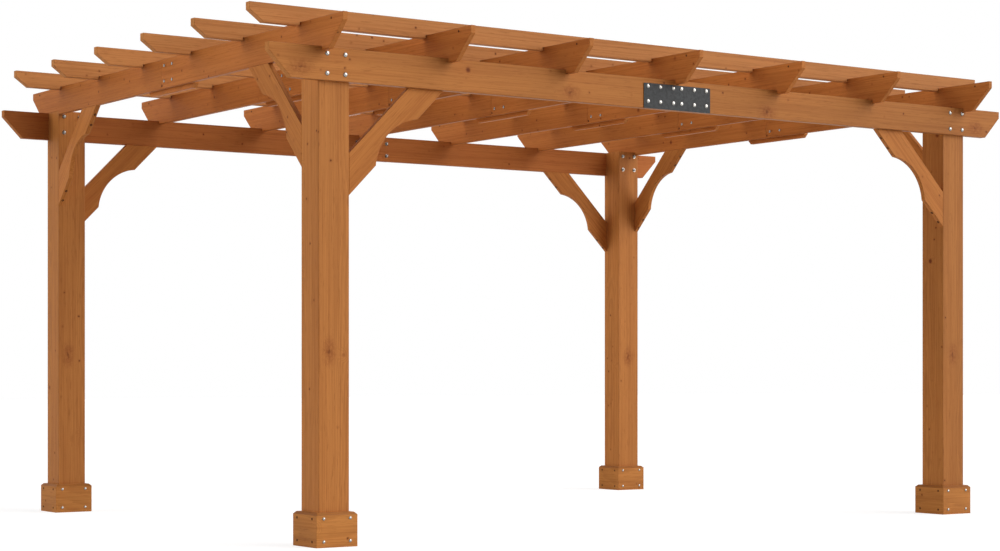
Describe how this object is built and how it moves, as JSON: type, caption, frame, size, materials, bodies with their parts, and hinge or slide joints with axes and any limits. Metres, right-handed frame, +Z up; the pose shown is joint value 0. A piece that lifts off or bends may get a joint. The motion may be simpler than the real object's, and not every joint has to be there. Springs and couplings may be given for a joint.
{
  "type": "wooden pergola",
  "caption": "Open timber pergola with square posts in boxed feet, long beams, notched rafters, top purlins and scooped knee braces.",
  "frame": {"origin": "on the ground, at the middle of the footprint", "axes": "+X along the beams, to the right seen from the front; +Y from the front beam to the back beam; +Z up"},
  "size_m": [4.267, 3.22, 2.249],
  "materials": {
    "post_timber": "warm brown stained cedar, satin, fine straight grain with small knots",
    "foot_boards": "warm brown stained cedar board, satin",
    "beam_timber": "warm brown stained cedar plank, satin, grain along the length",
    "rafter_timber": "warm brown stained cedar board, satin, grain along the length",
    "purlin_timber": "warm brown stained cedar bar, satin, grain along the length",
    "brace_timber": "warm brown stained cedar board, satin, sawn scoop",
    "splice_steel": "black powder coat, matt, fine texture",
    "bolt_zinc": "bright zinc plate on coach bolts, washers and nuts; used by the visual model's bolts only",
    "screw_coat": "dark brown corrosion-proof coat on wood screws; used by the visual model's screws only"
  },
  "bodies": {
    "root": {"back_beam_left_half": "beam_timber", "back_beam_right_half": "beam_timber", "back_foot_boards": "foot_boards", "back_left_beam_brace": "brace_timber", "back_left_post": "post_timber", "back_left_rafter_brace": "brace_timber", "back_right_beam_brace": "brace_timber", "back_right_post": "post_timber", "back_right_rafter_brace": "brace_timber", "back_splice_plate": "splice_steel", "front_beam_left_half": "beam_timber", "front_beam_right_half": "beam_timber", "front_foot_boards": "foot_boards", "front_left_beam_brace": "brace_timber", "front_left_post": "post_timber", "front_left_rafter_brace": "brace_timber", "front_right_beam_brace": "brace_timber", "front_right_post": "post_timber", "front_right_rafter_brace": "brace_timber", "front_splice_plate": "splice_steel", "left_foot_boards": "foot_boards", "purlin_1": "purlin_timber", "purlin_2": "purlin_timber", "purlin_3": "purlin_timber", "purlin_4": "purlin_timber", "purlin_5": "purlin_timber", "purlin_6": "purlin_timber", "rafter_1_back_half": "rafter_timber", "rafter_1_front_half": "rafter_timber", "rafter_2_back_half": "rafter_timber", "rafter_2_front_half": "rafter_timber", "rafter_3_back_half": "rafter_timber", "rafter_3_front_half": "rafter_timber", "rafter_4_back_half": "rafter_timber", "rafter_4_front_half": "rafter_timber", "rafter_5_back_half": "rafter_timber", "rafter_5_front_half": "rafter_timber", "rafter_6_back_half": "rafter_timber", "rafter_6_front_half": "rafter_timber", "rafter_7_back_half": "rafter_timber", "rafter_7_front_half": "rafter_timber", "rafter_splice_boards": "rafter_timber", "right_foot_boards": "foot_boards"}
  },
  "joints": []
}
